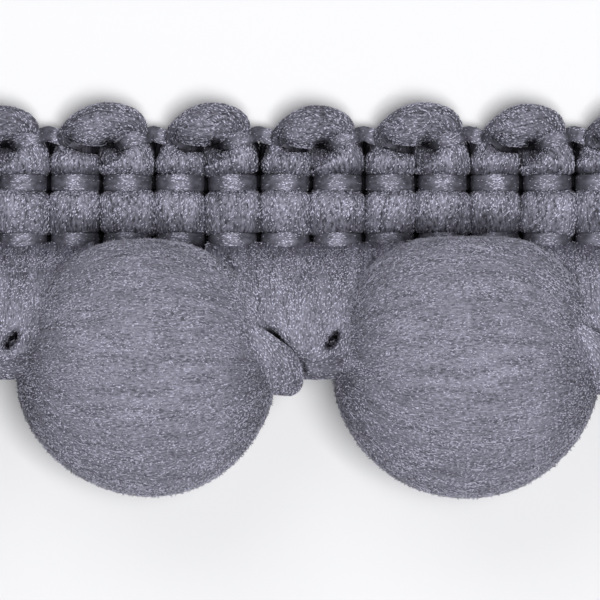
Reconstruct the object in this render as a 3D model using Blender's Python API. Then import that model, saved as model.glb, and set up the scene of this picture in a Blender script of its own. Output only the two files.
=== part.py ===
# Pompom fringe trim, a cut length lying face up on a flat surface.
# X runs along the trim, Y across it towards the picot loops, Z up from the surface.
# One fat yarn runs up and down to make the heading, and stands up in picot loops at its top
# edge. Webs of the same yarn hang from its bottom edge and are gathered between the pompoms,
# where a tie holds them.
import math
import random

import bmesh
import bpy
from mathutils import Vector

MM = 0.001

# Driving sizes, in metres.
POMPOMS = 4
COLUMNS_PER_POMPOM = 6
COLUMN_PITCH = 2.0 * MM
POMPOM_PITCH = COLUMNS_PER_POMPOM * COLUMN_PITCH
PIECE_GAP = 0.3 * MM

# Rows of binding stitches, measured from the middle of the trim's width.
LOW_ROW_Y = 2.14 * MM
MID_ROW_Y = 4.42 * MM
TOP_ROW_Y = 6.06 * MM
STITCH_HALF = 0.20 * MM
GROOVE_HALF = 0.36 * MM
STITCH_TOP = 1.72 * MM
GROOVE_TOP = 1.40 * MM
STITCH_HALF_WIDTH = 0.80 * MM
HUMP_HALF_WIDTH = 0.94 * MM

# The yarn's swellings between the rows: distance across the trim, half width, top.
LOW_HUMP = (
    (2.78 * MM, 0.92 * MM, 1.80 * MM),
    (3.30 * MM, HUMP_HALF_WIDTH, 2.05 * MM),
    (3.82 * MM, 0.92 * MM, 2.05 * MM),
)
HIGH_HUMP = (
    (5.00 * MM, 0.91 * MM, 1.90 * MM),
    (5.42 * MM, 0.91 * MM, 1.95 * MM),
)

# Height of each picot loop's outer edge, from the left end to the right.
PICOT_TOPS = tuple(
    MM * top for top in (7.38, 7.30, 7.24, 7.47, 7.45, 7.24, 7.47, 7.36, 7.32, 7.44, 7.30)
)
# A picot loop from its rising leg to its falling leg:
# share of the way across, share of the way up, half width, underside, top.
PICOT_SHAPE = (
    (0.00, 0.00, 0.74 * MM, 0.55 * MM, 2.15 * MM),
    (0.05, 0.40, 0.70 * MM, 0.85 * MM, 2.45 * MM),
    (0.22, 0.78, 0.70 * MM, 0.95 * MM, 2.55 * MM),
    (0.50, 1.00, 0.76 * MM, 0.85 * MM, 2.50 * MM),
    (0.78, 0.86, 0.68 * MM, 0.60 * MM, 2.20 * MM),
    (0.95, 0.50, 0.62 * MM, 0.30 * MM, 1.80 * MM),
)
PICOT_FOOT_Y = 5.80 * MM
PICOT_CREST_HALF_WIDTH = PICOT_SHAPE[3][2]

# The yarn's turn at the bottom edge: share of a column pitch, distance across, half width, top.
BOTTOM_TURN = (
    (0.05, 1.60 * MM, 0.55 * MM, 0.95 * MM),
    (0.50, 1.28 * MM, 0.42 * MM, 0.85 * MM),
    (0.95, 1.60 * MM, 0.55 * MM, 0.95 * MM),
)

# The web that fans out between two pompoms, from the heading down to the tie:
# distance across the trim, underside, top.
WEB_SHAPE = (
    (1.30 * MM, 1.42 * MM, 2.50 * MM),
    (1.16 * MM, 1.46 * MM, 3.60 * MM),
    (0.80 * MM, 1.60 * MM, 4.70 * MM),
    (0.20 * MM, 2.40 * MM, 5.55 * MM),
    (-0.45 * MM, 3.20 * MM, 6.05 * MM),
    (-1.10 * MM, 3.80 * MM, 6.30 * MM),
    (-1.75 * MM, 4.20 * MM, 6.25 * MM),
    (-2.35 * MM, 4.40 * MM, 5.75 * MM),
)
WEB_STRANDS_A_SIDE = 3
WEB_GROOVE_DEPTH = 0.22 * MM
WEB_MOST_REACH = 3.40 * MM

# Pompoms, left to right: shift along the trim, middle across the trim, radius, seed.
POMPOM_TABLE = (
    (0.04 * MM, -2.53 * MM, 5.03 * MM, 11),
    (-0.10 * MM, -2.60 * MM, 4.95 * MM, 23),
    (-0.12 * MM, -2.44 * MM, 5.12 * MM, 37),
    (0.06 * MM, -2.55 * MM, 5.00 * MM, 41),
)
POMPOM_FLAT_DEPTH = 0.16 * MM
POMPOM_SEGMENTS = 26
POMPOM_RINGS = 16
# The pile is pressed in at the two poles, where the tie draws it together. The span is a
# share of the radius, measured from the pole towards the middle.
POLE_DIMPLE = 0.20 * MM
POLE_DIMPLE_SPAN = 0.05
LOCKS_PER_POMPOM = 70
LOCK_HEIGHT = 0.11 * MM
LOCK_FREE_POLE = 0.86
LOCK_FREE_FOOT = -0.90
LUMP_HEIGHT = 0.05 * MM
LUMP_WAVES = 6
LUMP_WAVE_SWING = 4.0
# The side of a pompom that lies against the heading, where the pile is pressed smooth.
HEADING_SIDE = (0.0, 0.78, -0.62)
HEADING_SIDE_ANGLE = math.radians(50.0)

# The tie between two pompoms, from the left one to the right one:
# along the trim from halfway between the pompoms, across, up, radius.
TIE_SHAPE = (
    (-1.16 * MM, -1.90 * MM, 7.60 * MM, 0.34 * MM),
    (-0.76 * MM, -2.30 * MM, 7.22 * MM, 0.50 * MM),
    (-0.30 * MM, -2.78 * MM, 6.86 * MM, 0.76 * MM),
    (-0.02 * MM, -3.25 * MM, 6.05 * MM, 0.62 * MM),
    (0.30 * MM, -3.12 * MM, 5.40 * MM, 0.40 * MM),
    (0.52 * MM, -2.95 * MM, 5.00 * MM, 0.22 * MM),
)
# The knot left where the trim is cut at either end: outwards from halfway between the
# end pompom and the trim's end, across, up, radius.
END_TIE_SHAPE = (
    (0.04 * MM, -2.80 * MM, 6.10 * MM, 0.24 * MM),
    (0.10 * MM, -3.05 * MM, 5.70 * MM, 0.42 * MM),
    (0.16 * MM, -3.25 * MM, 5.15 * MM, 0.44 * MM),
    (0.24 * MM, -3.50 * MM, 4.75 * MM, 0.24 * MM),
)
TIE_SIDES = 8

YARN_COLOUR = (0.232, 0.230, 0.286, 1.0)
YARN_ROUGHNESS = 0.62
PILE_ROUGHNESS = 0.75
SHARP_ANGLE = math.radians(50.0)
MERGE_DISTANCE = 0.001 * MM


def clear_scene():
    for old in list(bpy.data.objects):
        bpy.data.objects.remove(old, do_unlink=True)


def yarn_material(name, roughness):
    material = bpy.data.materials.new(name)
    material.use_nodes = True
    shader = material.node_tree.nodes["Principled BSDF"]
    shader.inputs["Base Color"].default_value = YARN_COLOUR
    shader.inputs["Roughness"].default_value = roughness
    shader.inputs["Metallic"].default_value = 0.0
    return material


def add_object(name, mesh_builder, material, parent, location=(0.0, 0.0, 0.0)):
    mesh = bpy.data.meshes.new(name)
    mesh_builder.to_mesh(mesh)
    mesh_builder.free()
    mesh.materials.append(material)
    obj = bpy.data.objects.new(name, mesh)
    bpy.context.scene.collection.objects.link(obj)
    obj.parent = parent
    obj.location = location
    mesh.shade_smooth()
    mesh.set_sharp_from_angle(angle=SHARP_ANGLE)
    return obj


def plan_directions(points):
    """Unit directions along a path seen from above, one for each point."""
    steps = [(b - a).normalized() for a, b in zip(points, points[1:])]
    turned = [(a + b).normalized() for a, b in zip(steps, steps[1:])]
    return [steps[0], *turned, steps[-1]]


def skin_rings(rings):
    """A closed solid through rings of points, with a flat cap at each end."""
    bm = bmesh.new()
    made = [[bm.verts.new(point) for point in ring] for ring in rings]
    count = len(rings[0])
    for low, high in zip(made, made[1:]):
        for i in range(count):
            j = (i + 1) % count
            bm.faces.new((low[i], low[j], high[j], high[i]))
    bm.faces.new(made[0][::-1])
    bm.faces.new(made[-1])
    bmesh.ops.recalc_face_normals(bm, faces=bm.faces[:])
    return bm


def yarn_ring(centre, direction, half_width, low, high):
    """Eight points round the yarn, flat underneath and on top."""
    side = Vector((direction.y, -direction.x, 0.0))
    middle, half = (low + high) / 2, (high - low) / 2
    outline = ((-0.58, -1), (0.58, -1), (1, -0.42), (1, 0.42))
    outline += tuple((-across, -up) for across, up in outline)
    return [
        Vector((centre.x, centre.y, middle)) + side * (half_width * across) + Vector((0, 0, half * up))
        for across, up in outline
    ]


# A yarn station is the point that the yarn's middle passes, seen from above, with the
# yarn's half width, underside and top there.


def stitch_stations(x, row):
    """The yarn under one binding stitch: a raised band between two grooves."""
    return [
        (x, row - GROOVE_HALF, STITCH_HALF_WIDTH, 0.0, GROOVE_TOP),
        (x, row - STITCH_HALF, STITCH_HALF_WIDTH, 0.0, STITCH_TOP),
        (x, row + STITCH_HALF, STITCH_HALF_WIDTH, 0.0, STITCH_TOP),
        (x, row + GROOVE_HALF, STITCH_HALF_WIDTH, 0.0, GROOVE_TOP),
    ]


def column_stations(x):
    """One column of the heading, from the lowest row of stitches up to below the top row."""
    stations = stitch_stations(x, LOW_ROW_Y)
    stations += [(x, y, half, 0.0, top) for y, half, top in LOW_HUMP]
    stations += stitch_stations(x, MID_ROW_Y)
    stations += [(x, y, half, 0.0, top) for y, half, top in HIGH_HUMP]
    return stations


def top_stitch_stations(x):
    """The falling leg of a picot loop passes behind a stitch of the top row."""
    return stitch_stations(x, TOP_ROW_Y)[:3][::-1]


def picot_stations(left, top):
    """The loop that stands up past the heading between a rising and a falling column."""
    rise = top - PICOT_CREST_HALF_WIDTH - PICOT_FOOT_Y
    return [
        (left + across * COLUMN_PITCH, PICOT_FOOT_Y + up * rise, half, low, high)
        for across, up, half, low, high in PICOT_SHAPE
    ]


def bottom_turn_stations(left):
    return [
        (left + across * COLUMN_PITCH, y, half, 0.0, high)
        for across, y, half, high in BOTTOM_TURN
    ]


def heading_stations():
    """The whole yarn, from its cut end at the left to its cut end at the right."""
    columns = POMPOMS * COLUMNS_PER_POMPOM
    places = [(k - (columns - 1) / 2) * COLUMN_PITCH for k in range(columns)]
    stations = [*top_stitch_stations(places[0])]
    for k, x in enumerate(places):
        falling = k % 2 == 0
        if falling:
            stations += column_stations(x)[::-1]
            stations += bottom_turn_stations(x)
            continue
        stations += column_stations(x)
        if k < columns - 1:
            stations += picot_stations(x, PICOT_TOPS[k // 2])
            stations += top_stitch_stations(places[k + 1])
        else:
            stations += top_stitch_stations(x)[::-1]
    return stations


def build_heading(material, parent):
    stations = heading_stations()
    points = [Vector((x, y, 0.0)) for x, y, *_ in stations]
    rings = [
        yarn_ring(point, direction, half, low, high)
        for point, direction, (_, _, half, low, high) in zip(
            points, plan_directions(points), stations
        )
    ]
    add_object("heading_yarn", skin_rings(rings), material, parent)


def core_radius(index):
    """The radius under a pompom's lumps and locks."""
    return POMPOM_TABLE[index][2] - LOCK_HEIGHT - LUMP_HEIGHT


def pompom_centre(index):
    shift, y = POMPOM_TABLE[index][:2]
    x = (index - (POMPOMS - 1) / 2) * POMPOM_PITCH + shift
    return Vector((x, y, core_radius(index) - POMPOM_FLAT_DEPTH))


def gap_middle(gap):
    """The place halfway between the poles of the two pompoms beside a gap."""
    left, right = pompom_centre(gap - 1), pompom_centre(gap)
    return (left.x + POMPOM_TABLE[gap - 1][2] + right.x - POMPOM_TABLE[gap][2]) / 2


def web_limit(gap, side, y, z):
    """How far a web may reach to one side at a point, clear of the pompom there."""
    beside = gap - 1 if side < 0 else gap
    web_x = (gap - POMPOMS / 2) * POMPOM_PITCH
    if not 0 <= beside < POMPOMS:
        return web_x
    centre = pompom_centre(beside)
    reach = POMPOM_TABLE[beside][2] + PIECE_GAP
    across = reach**2 - (y - centre.y) ** 2 - (z - centre.z) ** 2
    most = web_x + side * WEB_MOST_REACH
    if across <= 0:
        return most
    near = centre.x - side * math.sqrt(across)
    return side * min(side * near, side * most)


def web_ring(gap, y, low, high, strands):
    """A section across a web: strands with grooves between them on top, flat underneath."""
    middle = (low + high) / 2

    def at(share, z):
        left, right = (web_limit(gap, side, y, z) for side in (-1, 1))
        return Vector((left + (right - left) * share, y, z))

    steps = 2 * strands
    top = [
        at(i / steps, high if i % 2 else high - WEB_GROOVE_DEPTH) for i in range(1, steps)
    ]
    bottom = [at(i / steps, low) for i in range(steps - 1, 0, -2)]
    return [at(0, middle), *top, at(1, middle), *bottom]


def build_web(name, gap, strands, material, parent):
    rings = [web_ring(gap, y, low, high, strands) for y, low, high in WEB_SHAPE]
    add_object(name, skin_rings(rings), material, parent)


def build_webs(material, parent):
    for gap in range(1, POMPOMS):
        build_web(f"web_{gap}", gap, 2 * WEB_STRANDS_A_SIDE, material, parent)
    build_web("web_left_end", 0, WEB_STRANDS_A_SIDE, material, parent)
    build_web("web_right_end", POMPOMS, WEB_STRANDS_A_SIDE, material, parent)


def lump(direction, waves):
    """A smooth unevenness, from -1 to 1, at a direction from a pompom's middle."""
    total = sum(math.sin(direction.dot(wave) + phase) for wave, phase in waves)
    return total / len(waves)


def even_directions(count):
    """Directions spread evenly over a ball, along a spiral from pole to pole."""
    golden = math.pi * (3 - math.sqrt(5))
    for i in range(count):
        z = 1 - 2 * (i + 0.5) / count
        ring = math.sqrt(1 - z * z)
        yield Vector((ring * math.cos(golden * i), ring * math.sin(golden * i), z))


def faces_the_heading(direction):
    return direction.angle(Vector(HEADING_SIDE)) < HEADING_SIDE_ANGLE


def raise_locks(bm, core):
    """Raises locks of pile, each a four-sided tuft on one face of the ball."""
    chosen = set()
    for direction in even_directions(LOCKS_PER_POMPOM):
        if faces_the_heading(direction) or abs(direction.x) > LOCK_FREE_POLE:
            continue
        if direction.z < LOCK_FREE_FOOT:
            continue
        nearest = min(bm.faces, key=lambda f: (f.calc_center_median() - direction * core).length)
        if len(nearest.verts) == 4:
            chosen.add(nearest)
    bmesh.ops.poke(bm, faces=list(chosen), offset=LOCK_HEIGHT)


def lump_waves(seed):
    draw = random.Random(seed)
    swing = LUMP_WAVE_SWING
    return [
        (Vector([draw.uniform(-swing, swing) for _ in range(3)]), draw.uniform(0, 2 * math.pi))
        for _ in range(LUMP_WAVES)
    ]


def pile_surface(direction, core, waves):
    """Distance from a pompom's middle to its pile, in one direction."""
    near_pole = max(0.0, abs(direction.x) - 1 + POLE_DIMPLE_SPAN) / POLE_DIMPLE_SPAN
    bulge = 0.0 if faces_the_heading(direction) else (1 + lump(direction, waves)) / 2
    return core + LUMP_HEIGHT * bulge - POLE_DIMPLE * near_pole


def rest_flat(bm, floor_z):
    """Cuts a ball level where it rests on the surface."""
    cut = bm.verts[:] + bm.edges[:] + bm.faces[:]
    floor = Vector((0.0, 0.0, floor_z))
    bmesh.ops.bisect_plane(
        bm, geom=cut, plane_co=floor, plane_no=(0, 0, 1), dist=MERGE_DISTANCE, clear_inner=True
    )
    rim = [edge for edge in bm.edges if edge.is_boundary]
    bmesh.ops.holes_fill(bm, edges=rim, sides=0)
    bmesh.ops.recalc_face_normals(bm, faces=bm.faces[:])


def build_pompom(index, material, parent):
    centre = pompom_centre(index)
    core = core_radius(index)
    waves = lump_waves(POMPOM_TABLE[index][3])
    bm = bmesh.new()
    bmesh.ops.create_uvsphere(bm, u_segments=POMPOM_SEGMENTS, v_segments=POMPOM_RINGS, radius=core)
    for vert in bm.verts:
        # The pole of the ball turns to lie along the trim, where the tie goes in.
        direction = Vector((vert.co.z, vert.co.y, -vert.co.x)).normalized()
        vert.co = direction * pile_surface(direction, core, waves)
    raise_locks(bm, core)
    rest_flat(bm, -centre.z)
    add_object(f"pompom_{index + 1}", bm, material, parent, centre)


def tie_rings(shape, mirror):
    """Round rings along the tie, each square to the way the tie runs."""
    points = [Vector((x * mirror, y, z)) for x, y, z, _ in shape]
    rings = []
    for point, direction, (*_, radius) in zip(points, plan_directions(points), shape):
        side = direction.cross(Vector((0, 0, 1))).normalized()
        up = side.cross(direction).normalized()
        turns = [2 * math.pi * i / TIE_SIDES for i in range(TIE_SIDES)]
        rings.append([point + (side * math.cos(a) + up * math.sin(a)) * radius for a in turns])
    return rings


def build_tie(name, shape, x, mirror, material, parent):
    add_object(name, skin_rings(tie_rings(shape, mirror)), material, parent, (x, 0.0, 0.0))


def build_ties(material, parent):
    for gap in range(1, POMPOMS):
        build_tie(f"tie_{gap}", TIE_SHAPE, gap_middle(gap), 1.0, material, parent)
    trim_end = POMPOMS / 2 * POMPOM_PITCH
    left_pole = pompom_centre(0).x - POMPOM_TABLE[0][2]
    right_pole = pompom_centre(POMPOMS - 1).x + POMPOM_TABLE[-1][2]
    build_tie("tie_left_end", END_TIE_SHAPE, (left_pole - trim_end) / 2, -1.0, material, parent)
    build_tie("tie_right_end", END_TIE_SHAPE, (right_pole + trim_end) / 2, 1.0, material, parent)


def main():
    clear_scene()
    trim = bpy.data.objects.new("trim", None)
    bpy.context.scene.collection.objects.link(trim)
    yarn = yarn_material("heading yarn", YARN_ROUGHNESS)
    build_heading(yarn, trim)
    build_webs(yarn, trim)
    pile = yarn_material("pompom pile", PILE_ROUGHNESS)
    for index in range(POMPOMS):
        build_pompom(index, pile, trim)
    build_ties(yarn_material("tie yarn", YARN_ROUGHNESS), trim)


main()
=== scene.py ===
# %% [markdown]
# # A pompom fringe trim, dressed
#
# The trim lies face up: a heading of fat looped yarn, bound by three rows of stitches, with a
# picot loop over every second pair of columns, and round sheared pompoms gathered below it.
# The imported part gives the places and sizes. This lesson gives each piece its yarn.

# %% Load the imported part
import math
import random
from collections import namedtuple

import bmesh
import bpy
import numpy as np
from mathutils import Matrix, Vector


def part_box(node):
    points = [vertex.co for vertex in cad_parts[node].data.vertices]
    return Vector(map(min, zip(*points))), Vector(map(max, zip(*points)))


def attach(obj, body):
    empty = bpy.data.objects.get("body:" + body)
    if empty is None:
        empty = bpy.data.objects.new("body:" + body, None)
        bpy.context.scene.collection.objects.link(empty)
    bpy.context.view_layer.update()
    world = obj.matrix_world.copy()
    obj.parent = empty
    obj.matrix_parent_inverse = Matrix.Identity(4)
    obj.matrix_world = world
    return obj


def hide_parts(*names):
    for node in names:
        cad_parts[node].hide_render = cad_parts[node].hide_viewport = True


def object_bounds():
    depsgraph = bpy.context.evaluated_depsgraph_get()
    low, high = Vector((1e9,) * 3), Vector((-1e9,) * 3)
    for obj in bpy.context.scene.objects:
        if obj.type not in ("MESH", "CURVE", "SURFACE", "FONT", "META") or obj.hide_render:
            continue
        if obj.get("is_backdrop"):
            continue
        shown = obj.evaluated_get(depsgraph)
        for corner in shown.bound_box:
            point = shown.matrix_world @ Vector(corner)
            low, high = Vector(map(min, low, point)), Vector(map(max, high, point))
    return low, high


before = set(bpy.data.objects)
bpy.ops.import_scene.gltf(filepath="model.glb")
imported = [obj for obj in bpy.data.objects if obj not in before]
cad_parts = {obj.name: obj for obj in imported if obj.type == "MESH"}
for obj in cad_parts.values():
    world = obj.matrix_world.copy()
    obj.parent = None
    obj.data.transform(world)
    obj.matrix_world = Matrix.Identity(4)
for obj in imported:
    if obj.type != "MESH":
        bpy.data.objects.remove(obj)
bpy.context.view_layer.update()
MM = 0.001

# %% [markdown]
# ## The camera
#
# The photograph looks straight down at the trim from far off, so its lines stay square. A long
# lens does the same here. The photograph shows no scale, so its pompoms are taken to be 10 mm.

# %% Place the camera over the trim
FRAME_WIDTH = 22.5 * MM
FRAME_MIDDLE = Vector((-0.36 * MM, -0.04 * MM, 4.8 * MM))
LENS = 400.0
SENSOR = 36.0
camera_data = bpy.data.cameras.new("camera")
camera_data.lens = LENS
camera_data.sensor_width = SENSOR
camera = bpy.data.objects.new("camera", camera_data)
camera.location = FRAME_MIDDLE + Vector((0, 0, FRAME_WIDTH * LENS / SENSOR))
bpy.context.scene.collection.objects.link(camera)
bpy.context.scene.camera = camera
print("camera height, mm:", round(camera.location.z / MM, 1))

# %% [markdown]
# ## Yarn finishes
#
# The yarn is a soft grey with a breath of lilac. Its filaments are smooth, so each one shows a
# small gloss where it lies flat. Their tones vary at random, and the brightest are partly a
# painted glint. The imported yarn between them is painted darker: painted shade between the
# filaments. Two finishes do most of the trim: one for the imported body of a yarn, and one for
# the filaments on it. Both could be one colour, but real pile is mottled, so noise drawn out
# along the yarn varies them.

# %% Helpers for node trees of materials
YARN_GREY = (0.232, 0.230, 0.286, 1.0)
SHEEN_ROUGHNESS = 0.4


def shade(share):
    return tuple(part * share for part in YARN_GREY[:3]) + (1.0,)


def link(tree, source, target):
    tree.links.new(source, target)


def feed(tree, node, values):
    """Gives a node's sockets their values. Each is a number or another node's output."""
    for socket, value in zip(node.inputs, values):
        if isinstance(value, (int, float)):
            socket.default_value = value
        else:
            link(tree, value, socket)
    return node.outputs[0]


def calculate(tree, operation, *values):
    node = tree.nodes.new("ShaderNodeMath")
    node.operation = operation
    return feed(tree, node, values)


def new_finish(name, roughness, sheen, specular):
    material = bpy.data.materials.new(name)
    material.use_nodes = True
    shader = material.node_tree.nodes["Principled BSDF"]
    shader.inputs["Roughness"].default_value = roughness
    shader.inputs["Sheen Weight"].default_value = sheen
    shader.inputs["Sheen Roughness"].default_value = SHEEN_ROUGHNESS
    shader.inputs["Specular IOR Level"].default_value = specular
    return material, shader, material.node_tree


def drawn_noise(tree, place, stretch, scale, detail=2.0):
    """Noise at a place, drawn out along the first coordinate."""
    drawn_out = tree.nodes.new("ShaderNodeVectorMath")
    drawn_out.operation = "MULTIPLY"
    drawn_out.inputs[1].default_value = (1.0 / stretch, 1.0, 1.0)
    noise = tree.nodes.new("ShaderNodeTexNoise")
    noise.inputs["Scale"].default_value = scale
    noise.inputs["Detail"].default_value = detail
    link(tree, place, drawn_out.inputs[0])
    link(tree, drawn_out.outputs[0], noise.inputs["Vector"])
    return noise.outputs[0]


def object_place(tree):
    return tree.nodes.new("ShaderNodeTexCoord").outputs["Object"]


def attribute(tree, name):
    node = tree.nodes.new("ShaderNodeAttribute")
    node.attribute_name = name
    return node.outputs


def ramp(tree, value, low, high, dark, light):
    """A colour that runs from dark to light as value runs from low to high."""
    node = tree.nodes.new("ShaderNodeValToRGB")
    node.color_ramp.elements[0].position = low
    node.color_ramp.elements[0].color = dark
    node.color_ramp.elements[1].position = high
    node.color_ramp.elements[1].color = light
    link(tree, value, node.inputs["Fac"])
    return node.outputs["Color"]


def add_bump(tree, shader, height, strength, distance):
    bump = tree.nodes.new("ShaderNodeBump")
    bump.inputs["Strength"].default_value = strength
    bump.inputs["Distance"].default_value = distance
    link(tree, height, bump.inputs["Height"])
    link(tree, bump.outputs["Normal"], shader.inputs["Normal"])


# %% [markdown]
# Every yarn surface below carries two attributes for its finish. "lay" is how far a point is
# along the yarn and how far round it, in metres, so fine noise read there runs with the strands
# wherever the yarn turns. "deep" is painted shade. It is 1 where a place lies deep between two
# yarns, where little light gets down to the fibres, and the finish is painted nearly black there.
# Less of it paints a lighter shade on other places that get less light.

# %% The body of a yarn, between its filaments
# Noise scales are per metre, and a stretch says how far the noise is drawn out.
FIBRE_NOISE, FIBRE_STRETCH = 15000.0, 3.0
CLOUD_NOISE, CLOUD_STRETCH = 2500.0, 4.0
BODY_RAMP = (0.58, 0.98)
FIBRE_HEIGHT = 0.05 * MM
# The colour of the darkest painted shade, as a share of the yarn's grey.
DEEP_SHADE = 0.04


def darkened(tree, colour, hold=1.0):
    """A colour darkened by painted shade: nearly black where deep is 1, later where hold is more.
    """
    toned = tree.nodes.new("ShaderNodeMix")
    toned.data_type = "RGBA"
    deep = calculate(tree, "POWER", attribute(tree, "deep")["Fac"], hold)
    link(tree, deep, toned.inputs["Factor"])
    link(tree, colour, toned.inputs[6])
    toned.inputs[7].default_value = shade(DEEP_SHADE)
    return toned.outputs[2]


def body_finish(name, dark, light):
    material, shader, tree = new_finish(name, 0.8, 0.0, 0.0)
    lay = attribute(tree, "lay")["Vector"]
    fibres = drawn_noise(tree, lay, FIBRE_STRETCH, FIBRE_NOISE, 3.0)
    clouds = drawn_noise(tree, lay, CLOUD_STRETCH, CLOUD_NOISE)
    both = calculate(tree, "MULTIPLY_ADD", clouds, 0.5, fibres)
    colour = ramp(tree, both, *BODY_RAMP, shade(dark), shade(light))
    link(tree, darkened(tree, colour), shader.inputs["Base Color"])
    add_bump(tree, shader, fibres, 1.0, FIBRE_HEIGHT)
    return material


pile_body = body_finish("pompom_pile_body", 0.40, 1.36)
yarn_body = body_finish("heading_yarn_body", 0.26, 1.50)

# %% The filaments, each with its own tone
# The share of a filament's own tone in its colour. The rest is noise over the piece.
OWN_TONE = 0.8
PATCH_NOISE = 1300.0
FILAMENT_RAMP = (0.35, 1.20)


def filament_finish(name, stretch, rarity, dark, light):
    """The higher its rarity, the fewer of its filaments are bright. Their bright tones are partly
    random tone and partly a painted glint.
    """
    material, shader, tree = new_finish(name, 0.30, 0.1, 0.6)
    own = attribute(tree, "tone")["Fac"]
    clouds = drawn_noise(tree, object_place(tree), stretch, PATCH_NOISE)
    # A few filaments get a bright tone: partly random tone, partly a painted glint.
    tone_and_glint = calculate(tree, "POWER", own, rarity)
    both = calculate(tree, "MULTIPLY_ADD", tone_and_glint, OWN_TONE, clouds)
    colour = ramp(tree, both, *FILAMENT_RAMP, shade(dark), shade(light))
    link(tree, darkened(tree, colour, 1.5), shader.inputs["Base Color"])
    return material


pile_filaments = filament_finish("pompom_filaments", 3.0, 3.5, 0.70, 2.3)
yarn_filaments = filament_finish("heading_filaments", 1.0, 2.0, 0.46, 2.8)

# %% The stitch thread, smooth along its length
THREAD_NOISE, THREAD_STRETCH = 20000.0, 6.0
THREAD_RAMP = (0.3, 0.7)
THREAD_FIBRE_HEIGHT = 0.02 * MM


def thread_finish(name):
    material, shader, tree = new_finish(name, 0.6, 0.0, 0.0)
    lay = attribute(tree, "lay")["Vector"]
    fibres = drawn_noise(tree, lay, THREAD_STRETCH, THREAD_NOISE)
    colour = ramp(tree, fibres, *THREAD_RAMP, shade(0.45), shade(1.05))
    link(tree, darkened(tree, colour), shader.inputs["Base Color"])
    add_bump(tree, shader, fibres, 0.8, THREAD_FIBRE_HEIGHT)
    return material


thread_body = thread_finish("stitch_thread")

# %% [markdown]
# ## Two kinds of filament
#
# Most filaments show only as short flecks, where one rises out of the pile and dips back. Such
# a fleck is a long thin wedge of four faces, cheap enough to lay by the tens of thousands. A
# few longer fibres show their crimp, and those are a wavy thread of eighteen triangles.

# %% Make the fleck and the wavy fibre
# Both are one unit long and one thick, and their tips end this far below the surface.
TIP_DEPTH = 0.7
# Place along the fibre, sideways shift and rise.
FIBRE_RINGS = ((-0.25, 0.4, 0.5), (0.0, -0.4, 0.8), (0.25, 0.4, 0.5))


def finish_mesh(mesh, bm):
    """Fills the mesh from bm, with its faces turned outwards and shaded smooth."""
    bmesh.ops.recalc_face_normals(bm, faces=bm.faces[:])
    bm.to_mesh(mesh)
    bm.free()
    mesh.shade_smooth()
    return mesh


def filament_object(name, bm):
    return bpy.data.objects.new(name, finish_mesh(bpy.data.meshes.new(name), bm))


def wedge(name):
    """A closed sliver one unit long and one thick, whose two ends dip below its broad middle."""
    bm = bmesh.new()
    ends = [bm.verts.new((end, 0.0, -TIP_DEPTH)) for end in (-0.5, 0.5)]
    middle = [bm.verts.new((0.0, side, 0.5)) for side in (-0.5, 0.5)]
    for end in ends:
        bm.faces.new((end, *middle))
    for side in middle:
        bm.faces.new((*ends, side))
    return filament_object(name, bm)


def wavy_thread(name, rings, sides=3):
    """A closed thread through rings, which are triangles by default."""
    bm = bmesh.new()
    tips = [bm.verts.new((end, 0.0, -TIP_DEPTH)) for end in (-0.5, 0.5)]
    turns = [2 * math.pi * (i + 0.25) / sides for i in range(sides)]
    loops = []
    for x, shift, rise in rings:
        ring = [(x, math.cos(a) / 2 + shift, math.sin(a) / 2 + rise) for a in turns]
        loops.append([bm.verts.new(point) for point in ring])
    for i in range(sides):
        j = (i + 1) % sides
        bm.faces.new((tips[0], loops[0][j], loops[0][i]))
        bm.faces.new((loops[-1][i], loops[-1][j], tips[1]))
        for near, far in zip(loops, loops[1:]):
            bm.faces.new((near[i], near[j], far[j], far[i]))
    return filament_object(name, bm)


fleck = wedge("fleck")
fibre = wavy_thread("fibre", FIBRE_RINGS)
print("faces of a fleck and a fibre:", len(fleck.data.polygons), len(fibre.data.polygons))

# %% [markdown]
# ## A coat of filaments
#
# Every soft surface here is dressed by one node tree. It scatters points over the surface,
# lays a filament on each one along the way that the strands run there, and turns it a little.
# The surface says how, point by point: "strand" is the way that the strands run, and "coat"
# the share of filaments that a place gets. Noise read at "lay" gathers them into clumps. A hair
# system could do this too, but a tree with a fixed seed gives the same plain mesh each time.

# %% Build the coating tree
COATING_INPUTS = {
    "Surface": "Geometry", "Filament": "Object", "Density": "Float", "Length": "Float",
    "Thickness": "Float", "Lift": "Float", "Scatter": "Float", "Seed": "Int",
    "Finish": "Material",
}


def random_float(tree, low, high, seed):
    node = tree.nodes.new("FunctionNodeRandomValue")
    node.data_type = "FLOAT"
    node.inputs[2].default_value = low
    node.inputs[3].default_value = high
    node.inputs[8].default_value = seed
    return node.outputs[1]


def named_value(tree, name, kind):
    node = tree.nodes.new("GeometryNodeInputNamedAttribute")
    node.data_type = kind
    node.inputs["Name"].default_value = name
    return node.outputs[0]


def combine(tree, *values):
    return feed(tree, tree.nodes.new("ShaderNodeCombineXYZ"), values)


# How strongly noise of this scale and stretch gathers the filaments into clumps.
CLUMPING = 2.6
CLUMP_NOISE, CLUMP_STRETCH = 3000.0, 3.0
# How far a filament rolls to either side, and the ranges of its length and thickness.
ROLL = 0.9
LENGTH_RANGE = (0.6, 1.4)
THICKNESS_RANGE = (0.8, 1.2)
# Filaments have at least this tone and a bare body has none, so a second coat skips the first.
BARE_TONE = 0.01


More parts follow.
